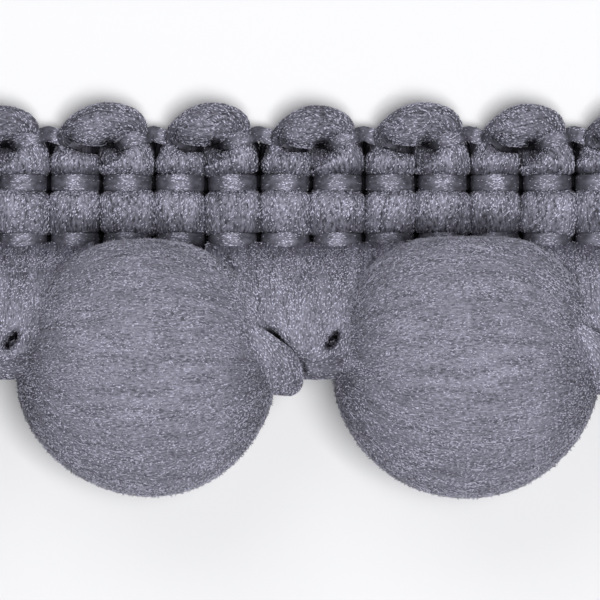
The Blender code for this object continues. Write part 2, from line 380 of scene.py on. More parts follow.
def coating_tree():
    tree = bpy.data.node_groups.new("lay_filaments", "GeometryNodeTree")
    for label, kind in COATING_INPUTS.items():
        tree.interface.new_socket(label, in_out="INPUT", socket_type="NodeSocket" + kind)
    tree.interface.new_socket("Coated", in_out="OUTPUT", socket_type="NodeSocketGeometry")
    given = tree.nodes.new("NodeGroupInput").outputs
    scatter = tree.nodes.new("GeometryNodeDistributePointsOnFaces")
    link(tree, given["Surface"], scatter.inputs["Mesh"])
    lay = named_value(tree, "lay", "FLOAT_VECTOR")
    clumps = drawn_noise(tree, lay, CLUMP_STRETCH, CLUMP_NOISE)
    clumped = calculate(tree, "MULTIPLY_ADD", clumps, CLUMPING, 1.0 - CLUMPING / 2)
    share = calculate(tree, "MULTIPLY", named_value(tree, "coat", "FLOAT"), clumped)
    density = calculate(tree, "MULTIPLY", given["Density"], share)
    link(tree, density, scatter.inputs["Density"])
    link(tree, given["Seed"], scatter.inputs["Seed"])
    bare = calculate(tree, "LESS_THAN", named_value(tree, "tone", "FLOAT"), BARE_TONE)
    link(tree, bare, scatter.inputs["Selection"])

    along = tree.nodes.new("FunctionNodeAxesToRotation")
    along.primary_axis = "Z"
    along.secondary_axis = "X"
    link(tree, scatter.outputs["Normal"], along.inputs["Primary Axis"])
    link(tree, named_value(tree, "strand", "FLOAT_VECTOR"), along.inputs["Secondary Axis"])
    turned = tree.nodes.new("FunctionNodeEulerToRotation")
    roll = random_float(tree, -ROLL, ROLL, 1)
    lift = calculate(tree, "MULTIPLY", random_float(tree, -1.0, 1.0, 2), given["Lift"])
    swing = calculate(tree, "MULTIPLY", random_float(tree, -1.0, 1.0, 3), given["Scatter"])
    link(tree, combine(tree, roll, lift, swing), turned.inputs[0])
    laid = tree.nodes.new("FunctionNodeRotateRotation")
    laid.rotation_space = "LOCAL"
    link(tree, along.outputs[0], laid.inputs[0])
    link(tree, turned.outputs[0], laid.inputs[1])

    length = calculate(tree, "MULTIPLY", random_float(tree, *LENGTH_RANGE, 4), given["Length"])
    width = random_float(tree, *THICKNESS_RANGE, 5)
    thick = calculate(tree, "MULTIPLY", width, given["Thickness"])
    repeat = tree.nodes.new("GeometryNodeInstanceOnPoints")
    source = tree.nodes.new("GeometryNodeObjectInfo")
    link(tree, given["Filament"], source.inputs["Object"])
    link(tree, scatter.outputs["Points"], repeat.inputs["Points"])
    link(tree, source.outputs["Geometry"], repeat.inputs["Instance"])
    link(tree, laid.outputs[0], repeat.inputs["Rotation"])
    link(tree, combine(tree, length, thick, thick), repeat.inputs["Scale"])

    tone = tree.nodes.new("GeometryNodeStoreNamedAttribute")
    tone.data_type = "FLOAT"
    tone.domain = "INSTANCE"
    tone.inputs["Name"].default_value = "tone"
    link(tree, repeat.outputs[0], tone.inputs["Geometry"])
    link(tree, random_float(tree, BARE_TONE, 1.0, 6), tone.inputs["Value"])
    real = tree.nodes.new("GeometryNodeRealizeInstances")
    finish = tree.nodes.new("GeometryNodeSetMaterial")
    joined = tree.nodes.new("GeometryNodeJoinGeometry")
    out = tree.nodes.new("NodeGroupOutput")
    link(tree, tone.outputs["Geometry"], real.inputs["Geometry"])
    link(tree, real.outputs[0], finish.inputs["Geometry"])
    link(tree, given["Finish"], finish.inputs["Material"])
    link(tree, finish.outputs[0], joined.inputs[0])
    link(tree, given["Surface"], joined.inputs[0])
    link(tree, joined.outputs[0], out.inputs[0])
    return tree


lay_filaments = coating_tree()

# %% Coat a surface and keep the result as a plain mesh


def set_input(modifier, label, value):
    for item in modifier.node_group.interface.items_tree:
        if item.item_type == "SOCKET" and item.in_out == "INPUT" and item.name == label:
            modifier[item.identifier] = value


def made_real(piece):
    """The piece's evaluated mesh in place of its modifiers."""
    bpy.context.view_layer.update()
    graph = bpy.context.evaluated_depsgraph_get()
    mesh = bpy.data.meshes.new_from_object(piece.evaluated_get(graph), depsgraph=graph)
    piece.modifiers.clear()
    piece.data = mesh
    return piece


def coat(piece, filament, **inputs):
    modifier = piece.modifiers.new("filaments", "NODES")
    modifier.node_group = lay_filaments
    set_input(modifier, "Filament", filament)
    for label, value in inputs.items():
        set_input(modifier, label, value)
    return made_real(piece)


def triangles(piece):
    piece.data.calc_loop_triangles()
    return len(piece.data.loop_triangles)


# %% [markdown]
# ## Surfaces with a grain
#
# A yarn is a tube whose width, underside and top change along its path. It could be a curve
# with a bevel, but that gives a round tube of one kind. Here rings of points are placed by a
# short table and skinned. Each point carries its grain: the way that the strands run there,
# its place along and round the yarn, its share of filaments, and how deep it lies.

# %% Helpers that skin rings and store the grain
Grain = namedtuple("Grain", "strand lay coat deep")


def store_grain(mesh, grain):
    for name in ("strand", "lay", "coat", "deep"):
        values = np.array([getattr(point, name) for point in grain], dtype=np.float32)
        many = values.ndim > 1
        layer = mesh.attributes.new(name, "FLOAT_VECTOR" if many else "FLOAT", "POINT")
        layer.data.foreach_set("vector" if many else "value", values.ravel())


def grained_mesh(name, rings, grain, material):
    """A closed skin over rings of points, in metres, with one Grain for each point."""
    count = len(rings[0])
    points = [point for ring in rings for point in ring]
    faces = []
    for r in range(len(rings) - 1):
        for i in range(count):
            j = (i + 1) % count
            faces.append((r * count + i, r * count + j, (r + 1) * count + j, (r + 1) * count + i))
    faces.append(tuple(range(count))[::-1])
    faces.append(tuple(range(len(points) - count, len(points))))
    mesh = bpy.data.meshes.new(name)
    mesh.from_pydata(points, [], faces)
    store_grain(mesh, grain)
    mesh.materials.append(material)
    facing = bmesh.new()
    facing.from_mesh(mesh)
    piece = bpy.data.objects.new(name, finish_mesh(mesh, facing))
    bpy.context.scene.collection.objects.link(piece)
    return piece


def smooth_rows(rows, steps):
    """Rows of numbers with steps more between each two, on a smooth curve through them all."""
    rows = [np.array(row, dtype=float) for row in rows]
    out = []
    for i in range(len(rows) - 1):
        before, a, b = rows[max(i - 1, 0)], rows[i], rows[i + 1]
        after = rows[min(i + 2, len(rows) - 1)]
        for s in range(steps):
            t = s / steps
            out.append(
                0.5 * (2 * a + (b - before) * t
                       + (2 * before - 5 * a + 4 * b - after) * t**2
                       + (3 * a - before - 3 * b + after) * t**3)
            )
    out.append(rows[-1])
    return out


def smooth_step(value, low, high):
    """0 up to low, 1 from high on, and a smooth rise between them."""
    t = min(1.0, max(0.0, (value - low) / (high - low)))
    return t * t * (3 - 2 * t)


def fading(value, full, none):
    """1 up to full, 0 from none on, and a smooth fall between them."""
    return smooth_step(-value, -none, -full)


# How square the foot of a ring is, and the radius, in millimetres, that the grain gives it.
FOOT_POWER = 0.3
FOOT_START = (0.0, 0.6)
TURN_WIDTH = 0.8


def squared(value, power):
    """A sine or cosine pushed out towards a square, the more the lower the power."""
    return math.copysign(abs(value) ** power, value)


def yarn_rings(rows, sides, fullness=2.6, slant=0.0):
    """Rings round a yarn, in metres, with their grain.

    A row is x, y, half width, underside, top and foot, in millimetres. The lower part of a ring
    is at least as wide as its foot, so that yarns side by side close up below.
    """
    plan = np.array([row[:2] for row in rows])
    steps = np.linalg.norm(np.diff(plan, axis=0), axis=1)
    gone = np.concatenate(([0.0], np.cumsum(steps)))
    ways = np.gradient(plan, axis=0)
    lengths = np.maximum(np.linalg.norm(ways, axis=1), 1e-6)
    climbs = np.gradient([(row[3] + row[4]) / 2 for row in rows]) / lengths
    ways /= lengths[:, None]
    rings, grain = [], []
    for row, way, climb, along in zip(rows, ways, climbs, gone):
        x, y, half, low, high, foot = row
        strand = (way[0] + slant * way[1], way[1] - slant * way[0], climb)
        ring = []
        for i in range(sides):
            a = 2 * math.pi * i / sides - math.pi / 2
            c, s = math.cos(a), math.sin(a)
            under = smooth_step(-s, *FOOT_START) if foot > half else 0.0
            power = 2 / fullness + (FOOT_POWER - 2 / fullness) * under
            wide = squared(c, power) * (half + (foot - half) * under)
            tall = squared(s, 2 / fullness) * (high - low) / 2
            point = Vector((x + way[1] * wide, y - way[0] * wide, (low + high) / 2 + tall))
            lay = (along * MM, 2 * math.pi * i / sides * TURN_WIDTH * MM, 0.0)
            grain.append(Grain(strand, lay, 1.0, 0.0))
            ring.append(point * MM)
        rings.append(ring)
    return rings, grain


# %% [markdown]
# ## The heading
#
# One fat soft yarn runs up and down. Between the rows of stitches it swells into pillows that
# touch their neighbours. Over every second pair of columns it stands up in a picot loop. The
# loop's fat left end comes out in front of the top row of stitches and hides it, and its thin
# right end dives in behind. The tables below hold two pillows and one loop, and the columns
# are made from them with small seeded differences, so that no two are quite alike.

# %% Sizes of the columns and rows, in millimetres
COLUMNS = 24
PITCH = 2.0
ROW_Y = {"low": 2.20, "middle": 4.42, "top": 6.00}
column_x = [(k - (COLUMNS - 1) / 2) * PITCH for k in range(COLUMNS)]
uneven = random.Random(5)
COLUMN_SHIFT = [uneven.uniform(-0.04, 0.04) for _ in range(COLUMNS)]
COLUMN_FULLNESS = [uneven.uniform(-1.0, 1.0) for _ in range(COLUMNS)]
# The pair of columns under a loop closes up, and the one on the right is the wider of the two
# and leans to the left at its top.
PAIR_DRAW = 0.03
PAIR_SHIFT = 0.065
PAIR_DRAW_RISE = (4.2, 5.2)
COLUMN_FOOT = 1.20
LEANING_FOOT = 1.42


def column_is_right(k):
    return k % 2 == 0


LEAN = 0.90
LEAN_FROM, LEAN_TO = 5.04, 5.60
# A column's shift swings at this pace, with a small ripple that steps on at each column.
SHIFT_PACE = 1.45
RIPPLE, RIPPLE_PACE, RIPPLE_STEP = 0.03, 2.6, 2.3


def column_middle(k, y):
    """Where a column's middle lies at a height across the trim: it wanders a little."""
    wander = COLUMN_SHIFT[k] * math.cos(SHIFT_PACE * (y - ROW_Y["low"]))
    wander = wander + RIPPLE * math.sin(RIPPLE_PACE * y + RIPPLE_STEP * k)
    draw = PAIR_DRAW * smooth_step(y, *PAIR_DRAW_RISE)
    lean = LEAN * (min(max(y, LEAN_FROM), LEAN_TO) - LEAN_FROM) ** 2
    return column_x[k] + PAIR_SHIFT + wander + (-draw - lean if column_is_right(k) else draw)


# Steps from the row of stitches, half width and height of the yarn there, and how long a step
# is at each row.
SQUEEZED = ((-1, 0.80, 1.30), (0, 0.70, 0.90), (1, 0.80, 1.30))
REACH = {"low": 0.26, "middle": 0.27, "top": 0.30}


def squeezed(k, row):
    """The yarn pressed flat under one stitch, from below it to above it."""
    rows = []
    for step, half, high in SQUEEZED:
        y = ROW_Y[row] + step * REACH[row]
        rows.append((column_middle(k, y), y, half, 0.0, high, COLUMN_FOOT))
    return rows


# Height across the trim, half width and top of the two pillows.
LOW_PILLOW = (
    (2.50, 0.92, 1.45), (2.66, 0.99, 1.70), (3.04, 1.01, 1.95), (3.44, 1.02, 2.16),
    (3.72, 1.01, 2.24), (3.94, 0.95, 2.12), (4.08, 0.82, 1.74),
)
HIGH_PILLOW = (
    (4.76, 0.86, 1.56), (4.86, 0.95, 1.90), (5.04, 0.97, 2.10), (5.26, 0.96, 2.16),
    (5.45, 0.88, 1.98), (5.58, 0.68, 1.48),
)
# How much a column's fullness changes its pillows, and where the high pillow's changes start.
FULLNESS = 0.03
FULLNESS_RISE = (5.04, 5.54)
FOOT_LEANS_TO = 5.5


def column_rows(k):
    """One column from the lowest row of stitches up to below the top row."""
    right = column_is_right(k)
    full = COLUMN_FULLNESS[k]
    wider = 1 + PAIR_SHIFT if right else 1 - PAIR_SHIFT
    rows = squeezed(k, "low")
    for y, half, top in LOW_PILLOW:
        top *= 1 + FULLNESS * full
        rows.append((column_middle(k, y), y, half * wider, 0.0, top, COLUMN_FOOT))
    rows += squeezed(k, "middle")
    for y, half, top in HIGH_PILLOW:
        past = smooth_step(y, LEAN_FROM, FOOT_LEANS_TO) if right else 0.0
        foot = COLUMN_FOOT + (LEANING_FOOT - COLUMN_FOOT) * past
        rise = FULLNESS * full * smooth_step(y, *FULLNESS_RISE)
        top *= 1 - FULLNESS * full
        rows.append((column_middle(k, y), y + rise, half * wider, 0.0, top, foot))
    return rows


# The top of each loop, from the left end, and how far it spreads.
LOOP_TOP = (7.38, 7.30, 7.24, 7.47, 7.45, 7.24, 7.47, 7.36, 7.32, 7.44, 7.30)
LOOP_SPREAD = (1.0, 0.97, 0.94, 1.02, 0.96, 0.93, 1.0, 0.93, 1.0, 0.95, 1.02)
# A row is x from the loop's middle, y, half width, underside, top and foot.
LOOP_ROWS = (
    (-1.00, 5.74, 0.70, 0.00, 0.70, 1.38),
    (-1.22, 5.92, 0.50, 0.10, 1.00, 1.15),
    (-1.36, 6.14, 0.38, 0.30, 1.60, 0.60),
    (-1.14, 6.33, 0.50, 0.70, 2.30, 0.0),
    (-0.64, 6.50, 0.71, 0.85, 2.82, 0.0),
    (0.00, 6.63, 0.82, 0.90, 2.95, 0.0),
    (0.52, 6.74, 0.71, 0.90, 2.70, 0.0),
    (0.91, 6.74, 0.57, 1.00, 2.44, 0.0),
    (1.20, 6.60, 0.47, 1.00, 2.20, 0.0),
    (1.34, 6.36, 0.34, 0.70, 1.80, 0.0),
    (1.16, 6.12, 0.36, 0.05, 0.90, 0.70),
    (0.84, 5.92, 0.50, 0.00, 0.70, 1.20),
    (0.70, 5.76, 0.56, 0.00, 0.80, 1.25),
)
LOOP_FOOT, LOOP_PEAK = 5.9, 7.46
LOOP_SHIFT = 0.15


def loop_rows(index, middle):
    lift = (LOOP_TOP[index] - LOOP_FOOT) / (LOOP_PEAK - LOOP_FOOT)
    rows = []
    for x, y, half, low, high, foot in LOOP_ROWS:
        raised = LOOP_FOOT + (y - LOOP_FOOT) * lift if y > LOOP_FOOT else y
        rows.append((middle + x * LOOP_SPREAD[index], raised, half, low, high, foot))
    return rows


# The turn below the lowest stitches: x from the column, y, half width and top.
TURN_ROWS = (
    (0.08, 1.66, 0.60, 0.98), (0.45, 1.38, 0.46, 0.90), (1.00, 1.28, 0.42, 0.86),
    (1.55, 1.38, 0.46, 0.90), (1.92, 1.66, 0.60, 0.98),
)


def heading_rows():
    rows = squeezed(0, "top")[::-1]
    for k in range(COLUMNS):
        if column_is_right(k):
            rows += column_rows(k)[::-1]
            rows += [(column_x[k] + x, y, half, 0.0, high, 0.0) for x, y, half, high in TURN_ROWS]
        else:
            rows += column_rows(k)
            if k < COLUMNS - 1:
                rows += loop_rows(k // 2, column_x[k] + PITCH / 2 + LOOP_SHIFT)
    return rows + squeezed(COLUMNS - 1, "top")


# %% Skin the heading
HEADING_SIDES = 14
HEADING_SLANT = 0.50
# Painted shade: the loops' yarn is painted darker between its filaments than the rest.
LOOP_SHADE = 0.28
rows = smooth_rows(heading_rows(), 2)
rings, grain = yarn_rings(rows, HEADING_SIDES, slant=HEADING_SLANT)
# Where the yarn comes out from under stitches: y, how near to it the yarn is fully pressed,
# and how far from it no longer.
PRESSED_PLACES = ((2.72, 0.24, 0.56), (4.82, 0.16, 0.36))


def pressed_smooth(y):
    """1 just above a row of stitches, where the yarn is still pressed, and 0 further up."""
    return max(fading(abs(y - at), near, far) for at, near, far in PRESSED_PLACES)


# The pit where the left column's yarn goes up behind the right one: place from the right
# column's middle, spread along and across the trim, depth, where it ends across the trim and
# the height of its floor.
LOOP_PIT_X, LOOP_PIT_Y = -0.52, 5.84
LOOP_PIT_SPREAD = (0.46, 0.26)
LOOP_PIT_DEPTH, LOOP_PIT_END, LOOP_PIT_FLOOR = 0.9, 6.3, 0.3


def loop_pit(x, y):
    """From 0 to 1 into the nearest pit under a loop."""
    if y < ROW_Y["middle"] or y > LOOP_PIT_END:
        return 0.0
    nearest = min(column_x[2::2], key=lambda at: abs(at + LOOP_PIT_X - x))
    along = (x - nearest - LOOP_PIT_X) / LOOP_PIT_SPREAD[0]
    across = (y - LOOP_PIT_Y) / LOOP_PIT_SPREAD[1]
    return math.exp(-(along**2) - across**2)


for ring in rings:
    for point in ring:
        lowered = point.z - LOOP_PIT_DEPTH * loop_pit(point.x / MM, point.y / MM) * MM
        point.z = min(point.z, max(lowered, LOOP_PIT_FLOOR * MM))


# Heights between which a ring is a crest, and a point is low in a valley.
CREST_RISE, VALLEY_FALL = (0.95, 1.45), (0.50, 1.15)
# Across the trim: where the valleys, the loops' feet and the loops start and end.
VALLEYS_START, VALLEYS_END = (1.75, 2.0), (6.0, 6.35)
FEET_START, FEET_END = (5.62, 5.80), (6.10, 6.45)
LOOPS_START = (6.1, 6.3)
# Along the trim: where the heading ends.
HEADING_ENDS = (23.4, 23.7)
# How far up a point faces: below which it is on the back, and from where it may get painted shade.
BACK, BACK_RISE = -0.1, (-1.0, -0.85)
BACK_COAT, VALLEY_COAT = 0.06, 0.05
# How far into a pit under a loop it gets painted shade and loses its coat.
PIT_RISE = (0.15, 0.70)
# The share of the coat that a place loses, and how dark its painted shade is.
PRESSED_LOSS, PRESSED_SHADE = 0.88, 0.34
FEET_LOSS, FEET_SHADE = 0.60, 0.5
# The pressed places vary this much along the trim.
PRESSED_WAVE, PRESSED_PACE = 0.28, 1.9


def heading_grain(ring, index, given):
    """Fewer filaments on the back, just above stitches and in the valleys. Painted shade darkens
    the places just above stitches, the valleys, the loops, their feet and the pits under them.

    A valley gets painted shade only between the columns, not at the heading's edges or on its
    back.
    """
    up = -math.cos(2 * math.pi * index / HEADING_SIDES)
    crest = smooth_step(max(point.z for point in ring) / MM, *CREST_RISE)
    across = sum(point.y for point in ring) / len(ring) / MM
    wave = 1 - PRESSED_WAVE + PRESSED_WAVE * math.sin(PRESSED_PACE * ring[0].x / MM)
    pressed = pressed_smooth(across) * wave
    outer = smooth_step(across, *LOOPS_START)
    foot = smooth_step(across, *FEET_START) * fading(across, *FEET_END)
    x, y = ring[index].x / MM, ring[index].y / MM
    between = fading(y, *VALLEYS_END) * smooth_step(y, *VALLEYS_START)
    between *= fading(abs(x), *HEADING_ENDS)
    between *= smooth_step(up, *BACK_RISE)
    plain = max(PRESSED_LOSS * pressed, FEET_LOSS * foot)
    coat_share = (1.0 if up > BACK else BACK_COAT) * (VALLEY_COAT + (1 - VALLEY_COAT) * crest)
    coat_share *= 1 - plain
    low = fading(ring[index].z / MM, *VALLEY_FALL)
    pit = smooth_step(loop_pit(x, y), *PIT_RISE)
    between = max(between * max(low, 0.5 * (1 - crest)), pit)
    deep = max(between, PRESSED_SHADE * pressed, LOOP_SHADE * outer, FEET_SHADE * foot)
    return given._replace(coat=coat_share * (1 - pit), deep=deep)


places = [(ring, i) for ring in rings for i in range(HEADING_SIDES)]
grain = [heading_grain(ring, i, given) for (ring, i), given in zip(places, grain)]
heading = grained_mesh("heading_yarn_laid", rings, grain, yarn_body)
print("heading rings:", len(rings), "triangles:", triangles(heading))

# %% Coat the heading
coat(
    heading, fleck, Density=88.0e6, Length=0.18 * MM, Thickness=0.042 * MM, Lift=0.35,
    Scatter=0.60, Seed=3, Finish=yarn_filaments,
)
print("heading triangles with its coat:", triangles(heading))

# %% [markdown]
# ## The binding stitches
#
# Each row is one flat soft thread that arches over a column and dives between the columns, so
# only short dashes show, bright in the middle where they face up. That brightness is partly real
# gloss on dense flecks and partly their painted glints, and the sides and dives get painted
# shade. In the top row the thread stays low behind the loops' fat ends and climbs to the right
# over the next column.

# %% Lay the three rows of thread
THREAD_HALF_HEIGHT = {"low": 0.32, "middle": 0.33, "top": 0.29}
THREAD_HALF_THICKNESS = 0.15
THREAD_SIDES, THREAD_POWER = 10, 0.5
# Share of the way from a column's middle to its edge, and the thread's middle height.
STITCH_ARCH = (
    (-0.82, 0.25), (-0.77, 0.78), (-0.60, 1.24), (-0.28, 1.50), (0.0, 1.58), (0.28, 1.50),
    (0.60, 1.24), (0.77, 0.78), (0.82, 0.25), (1.0, 0.16),
)
TOP_ARCH_LEFT = (
    (-0.80, 0.92), (-0.50, 0.92), (0.0, 0.80), (0.40, 0.45), (0.75, 0.28), (1.0, 0.25),
)
TOP_ARCH_RIGHT = (
    (-0.75, 0.25), (-0.50, 0.28), (-0.32, 0.60), (-0.18, 1.20), (0.04, 1.55), (0.32, 1.64),
    (0.56, 1.48), (0.72, 1.18), (0.86, 1.00), (1.0, 0.95),
)
TOP_CLIMB = 0.30
# Where the thread's bright patch is on a column, from its middle.
TOP_PATCH_LEFT, TOP_PATCH_RIGHT = -0.62, 0.25
# How far from the patch its coat fades, and from where the thread gets painted shade, and how
# dark.
PATCH_FALL, OFF_PATCH_SHADE_RISE, OFF_PATCH_SHADE = (0.08, 0.33), (0.12, 0.42), 0.52
# Heights between which the thread dives and gets painted shade, and how dark its lower side is
# painted.
DIVE_FALL = (0.40, 1.05)
LOWER_SIDE, LOWER_SIDE_RISE = 0.4, (0.2, 1.0)
THREAD_LEAST_COAT = 0.06


def arch(row, right):
    if row != "top":
        return STITCH_ARCH
    return TOP_ARCH_RIGHT if right else TOP_ARCH_LEFT


def thread_points(row):
    """The points of one row of thread: x, y, height and how far from its bright patch."""
    made = []
    for k, x in enumerate(column_x):
        right = column_is_right(k)
        for share, z in arch(row, right):
            y, bright_from = ROW_Y[row], 0.0
            if row == "top":
                y += TOP_CLIMB * (share if right else -share)
                bright_from = TOP_PATCH_RIGHT if right else TOP_PATCH_LEFT
            made.append((x + PAIR_SHIFT + share * PITCH / 2, y, z, abs(share - bright_from)))
    return made[:-1]


def thread_rings(points, half_height):
    shares = [point[3] for point in points]
    points = np.array(points)[:, :3]
    ways = np.gradient(points, axis=0)
    ways /= np.linalg.norm(ways, axis=1)[:, None]
    gone = np.concatenate(([0.0], np.cumsum(np.linalg.norm(np.diff(points, axis=0), axis=1))))
    rings, grain = [], []
    for point, way, along, share in zip(points, ways, gone, shares):
        side = np.array((-way[1], way[0], 0.0))
        side /= np.linalg.norm(side)
        up = np.cross(way, side)
        ring = []
        for i in range(THREAD_SIDES):
            a = 2 * math.pi * i / THREAD_SIDES - math.pi / 2
            c, s = math.cos(a), math.sin(a)
            wide = squared(c, THREAD_POWER) * half_height
            tall = squared(s, THREAD_POWER) * THREAD_HALF_THICKNESS
            lay = (along * MM, 2 * half_height * i / THREAD_SIDES * MM, 0.0)
            crest = fading(share, *PATCH_FALL)
            low = fading(point[2], *DIVE_FALL)
            off_patch_shade = OFF_PATCH_SHADE * smooth_step(share, *OFF_PATCH_SHADE_RISE)
            # Painted shade: where the thread dives, away from its patch and on its lower side.
            deep = max(low, off_patch_shade, LOWER_SIDE * smooth_step(-c, *LOWER_SIDE_RISE))
            coat_share = THREAD_LEAST_COAT + (1 - THREAD_LEAST_COAT) * crest
            grain.append(Grain(tuple(way), lay, coat_share * (1 - low), deep))
            ring.append(Vector(point + side * wide + up * tall) * MM)
        rings.append(ring)
    return rings, grain


threads = []
for row, half_height in THREAD_HALF_HEIGHT.items():
    points = smooth_rows(thread_points(row), 2)
    rings, grain = thread_rings(points, half_height)
    thread = grained_mesh(f"stitch_row_{row}", rings, grain, thread_body)
    coat(
        thread, fleck, Density=190.0e6, Length=0.18 * MM, Thickness=0.036 * MM, Lift=0.20,
        Scatter=0.50, Seed=11, Finish=yarn_filaments,
    )
    threads.append(thread)
    print(thread.name, "triangles:", triangles(thread))

# %% [markdown]
# ## The pompoms
#
# A sheared pompom is a ball of filaments that run from tie to tie, bound at both poles and cut
# round. Seen from the front they lie along arcs from the left pole to the right one. A ball
# whose poles point along the trim has those arcs as its meridians. The shears leave it a little
# lumpy, which a few slow waves give, and it rests on a small flat.

# %% Where each packed pompom is
POMPOMS = 4
# How much greater the ball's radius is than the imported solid's.
PILE_PROUD = 0.08


def packed_ball(node):
    """A packed pompom's middle and radius, in millimetres."""
    low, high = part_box(node)
    radius = (high.y - low.y) / 2 / MM + PILE_PROUD
    middle = (low + high) / 2 / MM
    middle.y += PILE_PROUD
    middle.z = high.z / MM - radius + PILE_PROUD
    return np.array(middle), radius


balls = {k: packed_ball(f"pompom_{k}") for k in range(1, POMPOMS + 1)}
for k, (middle, radius) in balls.items():
    print("pompom", k, "middle", np.round(middle, 2), "radius", round(radius, 2))

# %% Turn the balls
RINGS_ALONG, POINTS_ROUND = 60, 72
# The share of the half turn that is left flat at each pole.
POLE_GAP = 0.012
POLE_DIP, POLE_SPAN = 0.05, 0.05
# Painted shade: the pile is darker towards the ties, where it is packed tighter and light gets
# less far into it.
POLE_SHADE, POLE_SHADE_RISE = 0.38, (0.55, 1.0)
LUMP, WAVES, WAVE_PACE = 0.10, 9, 6
# The heading's lower edge flattens the pompoms' tops: from where on, and how far past that a
# point can still reach.
PRESSED_FROM, PRESSED_SPAN = 1.90, 0.45
# The least coat, on the ball's lower half, and the heights where the coat starts.
UNDER_COAT, UNDER_RISE = 0.22, (-0.45, -0.05)
FLOOR_RISE = (0.1, 0.4)


def slow_waves(seed):
    draw = random.Random(seed)
    waves = []
    for _ in range(WAVES):
        way = np.array([draw.uniform(-WAVE_PACE, WAVE_PACE) for _ in range(3)])
        waves.append((way, draw.uniform(0, 6.28)))
    return waves


def wave_height(direction, waves):
    return sum(math.sin(direction @ wave + phase) for wave, phase in waves) / len(waves)


def pompom(k):
    middle, radius = balls[k]
    waves = slow_waves(100 + k)
    rings, grain = [], []
    for r in range(RINGS_ALONG):
        a = math.pi * (POLE_GAP + (1 - 2 * POLE_GAP) * r / (RINGS_ALONG - 1))
        ring = []
        for i in range(POINTS_ROUND):
            b = 2 * math.pi * i / POINTS_ROUND - math.pi / 2
            out = math.sin(a)
            direction = np.array((-math.cos(a), out * math.cos(b), out * math.sin(b)))
            dip = POLE_DIP * smooth_step(abs(direction[0]), 1 - POLE_SPAN, 1.0)
            point = middle + direction * (radius + LUMP * wave_height(direction, waves) - dip)
            point[2] = max(point[2], 0.0)
            if point[1] > PRESSED_FROM:
                over = (point[1] - PRESSED_FROM) / PRESSED_SPAN
                point[1] = PRESSED_FROM + PRESSED_SPAN * math.tanh(over)
            ring.append(Vector(point) * MM)
            strand = np.array((1.0, 0.0, 0.0)) - direction[0] * direction
            strand /= max(np.linalg.norm(strand), 1e-6)
            lay = (radius * a * MM, radius * (b + math.pi / 2) * MM, 0.0)
            share = UNDER_COAT + (1 - UNDER_COAT) * smooth_step(direction[2], *UNDER_RISE)
            share *= smooth_step(point[2], *FLOOR_RISE)
            deep = POLE_SHADE * smooth_step(abs(direction[0]), *POLE_SHADE_RISE)
            grain.append(Grain(tuple(strand), lay, share, deep))
        rings.append(ring)
    piece = grained_mesh(f"pompom_{k}_pile", rings, grain, pile_body)
    coat(
        piece, fleck, Density=74.0e6, Length=0.14 * MM, Thickness=0.042 * MM, Lift=0.30,
        Scatter=0.55, Seed=20 + k, Finish=pile_filaments,
    )
    coat(
        piece, fleck, Density=30.0e6, Length=0.21 * MM, Thickness=0.042 * MM, Lift=1.35,
        Scatter=0.45, Seed=90 + k, Finish=pile_filaments,
    )
    coat(
        piece, fibre, Density=4.0e6, Length=0.40 * MM, Thickness=0.030 * MM, Lift=0.12,
        Scatter=0.25, Seed=30 + k, Finish=pile_filaments,
    )
    print(piece.name, "triangles:", triangles(piece))
    return piece


pompoms = {k: pompom(k) for k in balls}

# %% [markdown]
# ## The webs
#
# Loops of the heading's yarn hang down between two pompoms and are drawn together to a point.
# A flat fan laid between two balls would show a crease along each. The real fibres flow from
# the web on to the pile, so this sheet's height is a soft blend of the fan and of the balls
# beside it, and its strands turn from the point of the fan to the pompom's own.

# %% Sizes of a web, in millimetres
# Distance across the trim and height of the sheet between the balls.
WEB_PROFILE = (
    (1.92, 1.80), (1.82, 2.35), (1.62, 3.05), (1.32, 3.85), (0.95, 4.60), (0.45, 5.35),
    (-0.20, 5.98), (-0.80, 6.34), (-1.40, 6.50), (-1.95, 6.40), (-2.40, 6.00), (-2.70, 5.40),
)
WEB_POINTS = 40
WEB_REACH = 3.9
WEB_OVERLAP = 1.15
WEB_BLEND = 0.80
WEB_GATHER = np.array((-0.15, -2.9))
# The sheet's back: how far it is up the trim and below its front.
BACK_SHIFT, WEB_DEPTH = 0.25, 0.9
# Slow waves bend the sheet this much. It lies this far below a ball's own height, and its
# edges dip into the ball.
BEND, SHEET_SINK = 0.05, 0.02
EDGE_DROP, EDGE_START = 0.30, 0.90
# Outside a ball's outline its side falls away this many times as fast.
FALL_AWAY = 3.0
# How much of a strand's way is its pompom's own where the sheet lies on the ball, and the
# heights over the sheet between which it turns.
POLE_PULL, GATHER_PULL, POLE_TURN = 0.8, 0.2, (-1.2, 1.5)
# The coat is thicker towards the gather and thinner at the sides, in pits and on the back.
ROOT_COAT, GATHER_COAT, GATHER_FALL = 0.55, 0.45, (1.40, 1.85)
SIDE_LOSS, SIDE_RISE = 0.7, (0.55, 1.0)
WEB_BACK_COAT = 0.15
PIT_BARE = (0.2, 0.7)
# How dark a pit and the sheet's root are painted: painted shade.
PIT_DARK = (0.15, 0.8)
ROOT_SHADE, ROOT_RISE = 0.12, (1.55, 1.85)
# The two pits beside the gather, the crease along the tie and the pocket at its lower end:
# place from the web's middle, depth, spread along and across, and the way that each runs.
PITS = (
    (-1.36, -1.44, 1.2, 0.40, 0.25, -0.8),
    (0.86, -1.54, 1.8, 0.36, 0.16, 0.95),
    (-0.90, -1.86, 0.55, 0.95, 0.19, -0.62),
    (-0.17, -2.62, 0.8, 0.35, 0.11, -1.2),
)


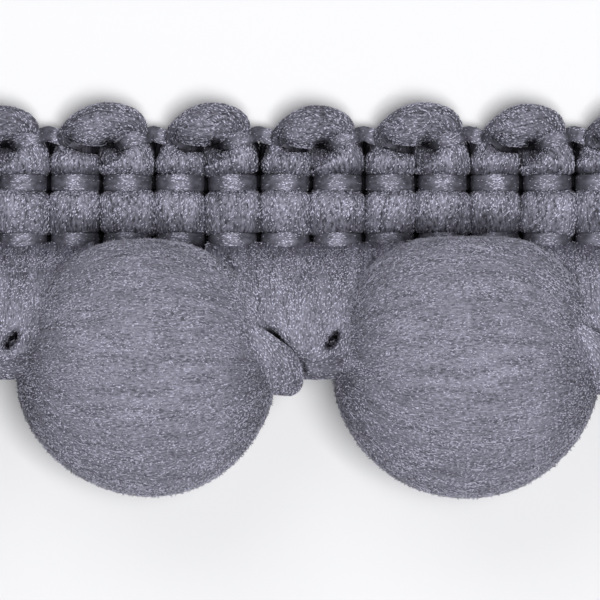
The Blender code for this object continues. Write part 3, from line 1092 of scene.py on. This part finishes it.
def ball_top(ball, x, y):
    """The height of a ball's upper side. Outside its outline the height falls away."""
    middle, radius = ball
    inside = radius**2 - (y - middle[1]) ** 2 - (x - middle[0]) ** 2
    steep = 1.0 if inside > 0 else FALL_AWAY
    return middle[2] + math.copysign(math.sqrt(abs(inside)), inside) * steep


def soft_most(a, b, blend):
    """The greater of two heights, with a rounded step where they meet."""
    h = min(1.0, max(0.0, 0.5 + 0.5 * (a - b) / blend))
    return b + (a - b) * h + blend * h * (1 - h)


def web_edge(web_x, side, ball, y, z):
    """How far the web runs to one side at y: a little way up the ball beside it."""
    if ball is None:
        return web_x
    middle, radius = ball
    inside = radius**2 - (y - middle[1]) ** 2 - max(0.0, z - middle[2]) ** 2
    reach = WEB_REACH
    if inside > 0:
        reach = side * (middle[0] - side * math.sqrt(inside) - web_x) + WEB_OVERLAP
    return web_x + side * min(WEB_REACH, max(reach, 0.3))


def pit_depth(x, y):
    depth = 0.0
    for pit_x, pit_y, deep, spread_along, spread_across, turn in PITS:
        dx, dy = x - pit_x, y - pit_y
        along = dx * math.cos(turn) + dy * math.sin(turn)
        across = -dx * math.sin(turn) + dy * math.cos(turn)
        depth += deep * math.exp(-((along / spread_along) ** 2) - (across / spread_across) ** 2)
    return depth


# %% Lay the webs


def gap_x(gap):
    """Halfway between the pompoms on both sides of a gap, as they were spaced."""
    return (gap - POMPOMS / 2) * 6 * PITCH


def web(name, gap):
    web_x = gap_x(gap)
    beside = [(side, ball) for side, ball in ((-1, balls.get(gap)), (1, balls.get(gap + 1)))]
    rings, grain = [], []
    for y, sheet in smooth_rows(WEB_PROFILE, 4):
        ends = [web_edge(web_x, side, ball, y, sheet) for side, ball in beside]
        top = []
        for i in range(WEB_POINTS):
            s = i / (WEB_POINTS - 1)
            x = ends[0] + (ends[1] - ends[0]) * s
            bend = math.sin(x * 4.1 + y * 1.3) + math.sin(x * 7.3 - y * 2.1 + 1.0)
            pit = pit_depth(x - web_x, y)
            z = sheet + BEND * bend - pit
            toward = np.array((WEB_GATHER[0] + web_x - x, WEB_GATHER[1] - y))
            toward /= max(np.linalg.norm(toward), 1e-6)
            for side, ball in beside:
                if ball is None:
                    continue
                over = ball_top(ball, x, y) - SHEET_SINK
                turn = smooth_step(over - z, *POLE_TURN)
                pole = np.array((-side, 0.0)) * POLE_PULL + toward * GATHER_PULL
                toward = toward * (1 - turn) + pole * turn
                z = soft_most(z, over, WEB_BLEND)
                edge = s if side > 0 else 1 - s
                z -= EDGE_DROP * smooth_step(edge, EDGE_START, 1.0)
            top.append((np.array((x, y, z)), toward, pit))
        under = []
        for (x, across, z), way, _ in top[::-1]:
            back = np.array((x, across + BACK_SHIFT, max(z - WEB_DEPTH, 0.1)))
            under.append((back, way, 0))
        rings.append([Vector(p) * MM for p, _, _ in top + under])
        dense = ROOT_COAT + GATHER_COAT * fading(y, *GATHER_FALL)
        root = ROOT_SHADE * smooth_step(y, *ROOT_RISE)
        for i, (p, w, pit) in enumerate(top + under):
            off = p[:2] - WEB_GATHER - (web_x, 0.0)
            span = np.linalg.norm(off)
            lay = (span * MM, math.atan2(off[0], off[1]) * max(span, 1.0) * MM, 0.0)
            # Painted shade at the sheet's root and in its pits.
            deep = max(root, smooth_step(pit, *PIT_DARK))
            side = abs(2 * (i % WEB_POINTS) / (WEB_POINTS - 1) - 1)
            share = dense if i < WEB_POINTS else WEB_BACK_COAT
            share *= 1 - smooth_step(pit, *PIT_BARE)
            share *= 1 - SIDE_LOSS * smooth_step(side, *SIDE_RISE)
            grain.append(Grain((w[0], w[1], -w[1] * 0.6), lay, share, deep))
    piece = grained_mesh(name, rings, grain, pile_body)
    coat(
        piece, fleck, Density=98.0e6, Length=0.15 * MM, Thickness=0.044 * MM, Lift=0.32,
        Scatter=0.55, Seed=40 + gap, Finish=yarn_filaments,
    )
    print(piece.name, "triangles:", triangles(piece))
    return piece


webs = {"web_left_end": web("web_left_end_laid", 0)}
for gap in range(1, POMPOMS):
    webs[f"web_{gap}"] = web(f"web_{gap}_laid", gap)
webs["web_right_end"] = web("web_right_end_laid", POMPOMS)

# %% [markdown]
# ## The ties
#
# The gathered point is held by one fat turn of yarn that slants down to the right, and a short
# bridge of the same yarn that runs on to the next pompom.

# %% Sizes of the turn and the bridge, from halfway between two pompoms
# A row is x, y, half width, underside and top. A cut end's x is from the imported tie's middle.
TURN_TABLE = (
    (-2.20, -0.98, 0.10, 6.90, 7.30),
    (-2.04, -1.13, 0.22, 6.70, 7.50),
    (-1.74, -1.45, 0.40, 6.40, 7.60),
    (-1.36, -1.92, 0.58, 5.90, 7.56),
    (-1.02, -2.42, 0.77, 5.30, 7.22),
    (-0.88, -2.95, 0.84, 4.80, 6.70),
    (-0.84, -3.36, 0.72, 4.60, 6.10),
    (-0.85, -3.60, 0.36, 4.70, 5.50),
)
BRIDGE_TABLE = (
    (-0.50, -2.60, 0.40, 4.50, 5.60),
    (0.00, -2.52, 0.50, 4.50, 5.90),
    (0.50, -2.48, 0.54, 4.50, 6.10),
    (1.00, -2.44, 0.56, 4.50, 6.40),
    (1.50, -2.35, 0.50, 4.50, 6.90),
)
END_TABLE = (
    (0.35, -2.70, 0.18, 5.60, 6.30),
    (0.10, -2.90, 0.40, 5.10, 6.30),
    (-0.05, -3.20, 0.46, 4.70, 6.00),
    (-0.15, -3.55, 0.24, 4.50, 5.40),
)
TIE_SIDES, TIE_FULLNESS = 20, 2.2
# The least painted shade on a bridge.
BRIDGE_SHADE = 0.32


def fat_turn(name, table, x, mirror, seed, pits_x=None):
    """A fat yarn along a table. Given pits_x, it gets painted shade: dark in the pits of the web
    there, and never lighter than BRIDGE_SHADE.
    """
    placed = [(x + mirror * row[0], *row[1:], 0.0) for row in smooth_rows(table, 5)]
    rings, grain = yarn_rings(placed, TIE_SIDES, TIE_FULLNESS)
    if pits_x is not None:
        depths = [pit_depth(p.x / MM - pits_x, p.y / MM) for ring in rings for p in ring]
        dark = [max(BRIDGE_SHADE, smooth_step(depth, *PIT_DARK)) for depth in depths]
        grain = [given._replace(deep=deep, coat=1 - deep) for given, deep in zip(grain, dark)]
    piece = grained_mesh(name, rings, grain, pile_body)
    return coat(
        piece, fleck, Density=104.0e6, Length=0.16 * MM, Thickness=0.044 * MM, Lift=0.30,
        Scatter=0.40, Seed=seed, Finish=yarn_filaments,
    )


# %% Lay the ties
ties = {}
for gap in range(1, POMPOMS):
    left, right = balls[gap], balls[gap + 1]
    middle = (left[0][0] + left[1] + right[0][0] - right[1]) / 2
    ties[f"tie_{gap}"] = [
        fat_turn(f"tie_{gap}_turn", TURN_TABLE, middle, 1.0, 60 + gap),
        fat_turn(f"tie_{gap}_bridge", BRIDGE_TABLE, middle, 1.0, 70 + gap, gap_x(gap)),
    ]
for name, side in (("tie_left_end", -1), ("tie_right_end", 1)):
    low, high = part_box(name)
    ties[name] = [fat_turn(f"{name}_turn", END_TABLE, (low.x + high.x) / 2 / MM, -side, 80 + side)]
tie_pieces = [piece for pair in ties.values() for piece in pair]
print("ties:", sum(triangles(piece) for piece in tie_pieces), "triangles")

# %% [markdown]
# ## The floor and the light
#
# A plain pale floor, and two soft lights: a strong one almost overhead, a little to the lower
# right, and a weaker and broader one from the upper left, with a pale sky that fills the
# shadows. The floor lies a hair below the trim, so the two never share a surface.

# %% Lay the floor
FLOOR_SIZE = 0.6
FLOOR_DROP = 0.02 * MM
floor_mesh = bpy.data.meshes.new("floor")
half = FLOOR_SIZE / 2
corners = [(-half, -half, 0), (half, -half, 0), (half, half, 0), (-half, half, 0)]
floor_mesh.from_pydata(corners, [], [(0, 1, 2, 3)])
floor = bpy.data.objects.new("floor", floor_mesh)
floor.location.z = -FLOOR_DROP
bpy.context.scene.collection.objects.link(floor)
floor_finish = bpy.data.materials.new("pale_floor")
floor_finish.use_nodes = True
floor_shader = floor_finish.node_tree.nodes["Principled BSDF"]
floor_shader.inputs["Base Color"].default_value = (0.78, 0.78, 0.79, 1.0)
floor_shader.inputs["Roughness"].default_value = 0.9
floor_mesh.materials.append(floor_finish)
floor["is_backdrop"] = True

# %% Set the lights


def soft_light(name, place, size, power):
    data = bpy.data.lights.new(name, "AREA")
    data.size = size
    data.energy = power
    lamp = bpy.data.objects.new(name, data)
    lamp.location = place
    aim = Vector((0, 0, 0)) - Vector(place)
    lamp.rotation_euler = aim.to_track_quat("-Z", "Y").to_euler()
    bpy.context.scene.collection.objects.link(lamp)


soft_light("key", (0.05, -0.05, 0.42), 0.16, 1.87)
soft_light("fill", (-0.12, 0.24, 0.30), 0.30, 0.45)
world = bpy.data.worlds.new("sky")
world.use_nodes = True
world.node_tree.nodes["Background"].inputs["Color"].default_value = (0.9, 0.92, 1.0, 1.0)
world.node_tree.nodes["Background"].inputs["Strength"].default_value = 0.10
bpy.context.scene.world = world
bpy.context.scene.view_settings.view_transform = "Standard"

# %% [markdown]
# ## Join the pieces to one body
#
# The trim has one body. Each laid piece stands for the imported solid in its place. The stitch
# threads and the bridges are finer than any imported solid, so they only ride along. The two
# filaments were patterns, and are taken out.

# %% Ride and replace


def hand_over(piece, slot, *nodes):
    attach(piece, "root")
    if nodes:
        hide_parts(*nodes)


bpy.data.objects.remove(fleck)
bpy.data.objects.remove(fibre)
hand_over(heading, "heading_yarn", "heading_yarn")
for thread in threads:
    hand_over(thread, "heading_yarn")
for k, piece in pompoms.items():
    hand_over(piece, "pompom_pile", f"pompom_{k}")
for name, piece in webs.items():
    hand_over(piece, "heading_yarn", name)
for name, (turn, *bridge) in ties.items():
    hand_over(turn, "tie_yarn", name)
    for piece in bridge:
        hand_over(piece, "tie_yarn")

# %% Measure the dressed trim
shown = [heading, *threads, *pompoms.values(), *webs.values(), *tie_pieces]
print("pieces:", len(shown), "triangles in all:", sum(triangles(piece) for piece in shown))
low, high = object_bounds()
